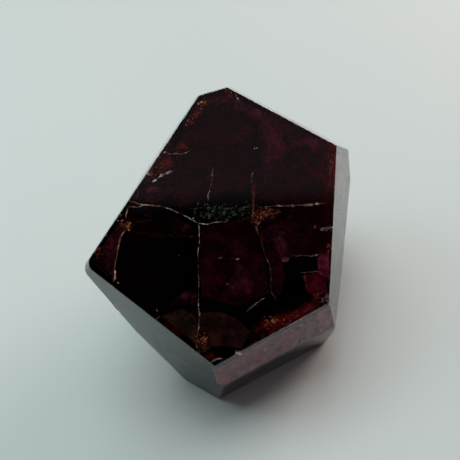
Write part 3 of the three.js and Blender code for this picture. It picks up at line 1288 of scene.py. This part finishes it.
@dataclass
class Crumbs:
    """Loose crumbs sealed in the stone: rust in clusters, white grains and bruised chips."""

    stone: PackedStone
    across: int = 7
    rows: int = 4
    proud: float = -0.012
    furthest: float = 1.8
    flatness: tuple[float, float] = (0.45, 1.0)
    corners: tuple[float, float] = (0.65, 1.0)
    thickness: float = 0.18
    tilt: float = 0.35
    seed: int = 37

    def build(self) -> None:
        """Make one piece for each kind of crumb."""
        rng = np.random.default_rng(self.seed)
        for crumb, clusters in zip(Crumb, (RUST_CLUSTERS, WHITE_CLUSTERS)):
            batch = Batch(f"crumbs_{crumb.name.lower()}", self.stone, self.proud)
            for cluster in clusters:
                self.scatter(batch, cluster, rng)
            for face in BACK_FACES:
                reach = self.stone.room(face) * HIDDEN_SCATTER
                lot = Cluster((0.0, 0.0), (reach, reach), *HIDDEN_LOT, face=face)
                self.scatter(batch, lot, rng)
            batch.build(crumb.value.make(), smooth=False)

    def scatter(self, batch: Batch, cluster: Cluster, rng: np.random.Generator) -> None:
        """Scatter one cluster of crumbs.

        Each crumb is a flattened ball cut by meridians and parallels: a point is the middle plus
        the sine of its latitude times the crumb's reach on that meridian, and the cosine of its
        latitude times the crumb's thickness, tilted a little out of the facet. The reach differs
        at random from point to point, so that a crumb has corners.

        Args:
            batch: the piece that gets the crumbs.
            cluster: the cluster.
            rng: where the random numbers come from.
        """
        number = cluster.count
        turn = math.radians(cluster.turn)
        swing = np.array([[math.cos(turn), math.sin(turn)], [-math.sin(turn), math.cos(turn)]])
        places = rng.normal(size=(number, 2)).clip(-self.furthest, self.furthest)
        places = places * cluster.spread @ swing + cluster.middle
        size = cluster.sizes[0] + np.ptp(cluster.sizes) * rng.random(number) ** 2
        depth = rng.uniform(*cluster.depths, number)
        stretch = rng.uniform(*self.flatness, number)
        spin = rng.uniform(0, np.pi, number)
        latitude = np.linspace(0, np.pi, self.rows + 2)[1:-1]
        meridian = np.arange(self.across) / self.across * 2 * np.pi
        reach = rng.uniform(*self.corners, (number, self.rows, self.across))
        reach = reach * np.sin(latitude)[:, None] * (size / 2)[:, None, None]
        long = reach * np.cos(meridian)
        short = reach * np.sin(meridian) * stretch[:, None, None]
        cosine, sine = np.cos(spin)[:, None, None], np.sin(spin)[:, None, None]
        flat = np.stack([long * cosine - short * sine, long * sine + short * cosine], axis=-1)
        tilt = rng.normal(0, self.tilt, (number, 1, 1, 2))
        thick = -np.cos(latitude)[:, None] * (size * self.thickness)[:, None, None]
        down = depth[:, None, None] + thick + (flat * tilt).sum(-1)
        ruler = self.stone.ruler(cluster.face)
        rings = ruler.place(places[:, None, None, :] + flat, down)
        poles = [ruler.place(places, depth + side * size * self.thickness) for side in (-1, 1)]
        batch.add(rings, *poles, np.zeros(self.rows))


@dataclass
class MossThreads:
    """Chlorite moss: a tangle of short green-grey threads where the long crack breaks off."""

    stone: PackedStone
    middle: tuple[float, float] = (-1.2, 3.1)
    spread: tuple[float, float] = (2.8, 0.75)
    fall: float = -0.2
    count: int = 190
    lengths: tuple[float, float] = (0.3, 1.2)
    depths: tuple[float, float] = (0.08, 1.0)
    thickness: float = 0.2
    furthest: float = 1.9
    bend: float = 2.2
    dive: float = 0.3
    tips: tuple[float, float] = (0.08, 0.92)
    rows: int = 7
    across: int = 5
    seed: int = 51

    def build(self) -> None:
        """Make the tangle as one piece.

        Each thread is a tube: its heading turns by a random, steady bend, its path is the sum of
        its steps, and its radius is half the thickness times the square root of the sine of the
        part of its length.
        """
        rng = np.random.default_rng(self.seed)
        number = self.count
        starts = rng.normal(size=(number, 2)).clip(-self.furthest, self.furthest) * self.spread
        starts[:, 1] += self.fall * starts[:, 0]
        starts += self.middle
        length = rng.uniform(*self.lengths, number)
        part = np.linspace(0, 1, self.rows)
        heading = rng.uniform(0, 2 * np.pi, number)[:, None]
        heading = heading + rng.normal(0, self.bend, (number, 1)) * part
        steps = (length / self.rows)[:, None, None] * circle(heading)
        path = starts[:, None, :] + np.cumsum(steps, axis=1)
        dip = rng.uniform(*self.depths, number)[:, None]
        dip = dip + rng.normal(0, self.dive, (number, 1)) * part
        taper = np.sqrt(np.sin(np.pi * np.linspace(*self.tips, self.rows)))
        radius = self.thickness / 2 * taper
        turn = np.arange(self.across) / self.across * 2 * np.pi
        across = np.stack([-np.sin(heading), np.cos(heading)], axis=-1)
        sideways = (radius[:, None] * np.cos(turn))[None, :, :, None]
        flat = path[:, :, None, :] + across[:, :, None, :] * sideways
        down = (dip[:, :, None] + radius[:, None] * np.sin(turn)).clip(self.depths[0])
        rings = self.stone.ruler(Face.TABLE).place(flat, down)
        batch = Batch("moss_threads", self.stone)
        batch.add(rings, rings[:, 0].mean(1), rings[:, -1].mean(1), np.zeros(self.rows))
        batch.build(MOSS.make())


# ---------------- floor, light and camera


@dataclass(frozen=True)
class Lamp:
    """One soft rectangular lamp: where it hangs and its size, metres, its power and colour."""

    name: str
    place: tuple[float, float, float]
    size: tuple[float, float]
    watts: float
    colour: str


@dataclass
class Studio:
    """A pale floor, soft light from behind and above, and the camera."""

    floor_half: float = 6.0
    floor_finish: CastFloor = field(default_factory=CastFloor)
    lamps: tuple[Lamp, ...] = (
        Lamp("key_softbox", (-0.76, 1.53, 3.56), (2.9, 2.9), 87.0, "#e8fffc"),
        Lamp("warm_window", (0.41, 0.43, 0.22), (0.3, 0.3), 2.3, "#fff0e8"),
        Lamp("cool_window", (-0.2, 0.05, 0.2), (0.16, 0.16), 0.17, "#dcffff"),
    )
    room_tones: tuple[str, str] = ("#3c3e3e", "#8c9090")
    horizon_tone: str = "#c4c8c8"
    horizon_limits: tuple[float, float] = (0.12, 0.26)
    behind_limits: tuple[float, float] = (-0.7, 0.5)
    dark_side: tuple[float, float] = (36.0, 54.0)
    dark_reach: tuple[float, float] = (36.0, 50.0)
    dark_tones: tuple[str, str] = ("#0c0808", "#544a4d")
    dim_part: tuple[float, float] = (-174.1, 31.1)
    dim_limits: tuple[float, float] = (-0.02, 0.01)
    aim: tuple[float, float, float] = (0.0, 0.0, 20 * MM)
    eye: tuple[float, float, float] = (-0.19 * MM, -91.7 * MM, 135.2 * MM)
    clip: tuple[float, float] = (1 * MM, 50.0)
    look_down: float = 50.0
    field_of_view: float = 38.0

    def build(self) -> None:
        """Build the floor, the light and the camera."""
        self.make_floor()
        self.make_sky()
        for lamp in self.lamps:
            self.hang(lamp)
        self.make_camera()

    def make_floor(self) -> None:
        """Lay one flat square under the stone."""
        half = self.floor_half
        square = [(-half, -half, 0.0), (half, -half, 0.0), (half, half, 0.0), (-half, half, 0.0)]
        mesh = bpy.data.meshes.new("floor")
        mesh.from_pydata(square, [], [[0, 1, 2, 3]])
        mesh.materials.append(self.floor_finish.make())
        floor = put_in_scene("floor", mesh)

    def make_sky(self) -> None:
        """Surround the scene with a pale room that has one dark side.

        The room is palest at the horizon and paler behind the stone than before it. The table
        of the stone mirrors the dark side, so the room is pale where the angle from that side's
        middle is wide and nearly black close to it. A tilted plane parts the dark side: what
        lies above the plane is dim and not black.
        """
        world = bpy.data.worlds.new("room")
        world.use_nodes = True
        bpy.context.scene.world = world
        tree = world.node_tree
        tree.nodes.clear()
        where = add_node(tree, "ShaderNodeTexCoord").outputs["Generated"]
        height = add_node(tree, "ShaderNodeSeparateXYZ", links={0: where}).outputs
        near, above = (
            add_node(
                tree,
                "ShaderNodeVectorMath",
                {"operation": "DOT_PRODUCT", 1: tuple(direction(*angles))},
                {0: where},
            ).outputs["Value"]
            for angles in (self.dark_side, self.dim_part)
        )
        near_limits = tuple(math.cos(math.radians(angle)) for angle in self.dark_reach)
        pale, dim, raised, behind = (
            add_node(
                tree, "ShaderNodeMapRange", {"From Min": low, "From Max": high}, {"Value": value}
            ).outputs[0]
            for value, (low, high) in (
                (near, near_limits),
                (above, self.dim_limits),
                (height["Z"], self.horizon_limits),
                (height["Y"], self.behind_limits),
            )
        )
        dark, upper = (
            add_node(
                tree,
                "ShaderNodeMix",
                {"data_type": "RGBA", 6: (*linear(first), 1.0), 7: (*linear(second), 1.0)},
                {0: share},
            ).outputs[2]
            for share, (first, second) in ((dim, self.dark_tones), (behind, self.room_tones))
        )
        settings = {"data_type": "RGBA", 6: (*linear(self.horizon_tone), 1.0)}
        walls = add_node(tree, "ShaderNodeMix", settings, {0: raised, 7: upper}).outputs[2]
        links = {0: pale, 6: dark, 7: walls}
        room = add_node(tree, "ShaderNodeMix", {"data_type": "RGBA"}, links).outputs[2]
        back = add_node(tree, "ShaderNodeBackground", links={0: room})
        add_node(tree, "ShaderNodeOutputWorld", links={0: back.outputs[0]})

    def hang(self, lamp: Lamp) -> None:
        """Hang one rectangular lamp that looks at the stone.

        Args:
            lamp: the lamp.
        """
        data = bpy.data.lights.new(lamp.name, "AREA")
        data.shape = "RECTANGLE"
        data.size, data.size_y = lamp.size
        data.energy = lamp.watts
        data.color = linear(lamp.colour)
        hung = put_in_scene(lamp.name, data)
        hung.location = lamp.place
        aim = Vector(self.aim) - hung.location
        hung.rotation_mode = "QUATERNION"
        hung.rotation_quaternion = aim.to_track_quat("-Z", "Y")

    def make_camera(self) -> None:
        """Set up the camera, above and in front of the stone, looking down at it."""
        data = bpy.data.cameras.new("camera")
        data.lens = data.sensor_width / 2 / math.tan(math.radians(self.field_of_view / 2))
        data.clip_start, data.clip_end = self.clip
        camera = put_in_scene("camera", data)
        camera.location = self.eye
        camera.rotation_euler = (math.radians(90 - self.look_down), 0.0, 0.0)
        bpy.context.scene.camera = camera


# ---------------- main


def main() -> None:
    """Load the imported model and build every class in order."""
    logging.basicConfig(level=logging.INFO, format="%(message)s")
    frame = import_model()
    bpy.context.scene.view_settings.view_transform = "Standard"
    stone = PackedStone(frame["nodes"][CAD_NODE])
    StoneBody(stone).build()
    HealedCracks(stone).build()
    SealedFilms(stone).build()
    Crumbs(stone).build()
    MossThreads(stone).build()
    Studio().build()


if __name__ == "__main__":
    main()
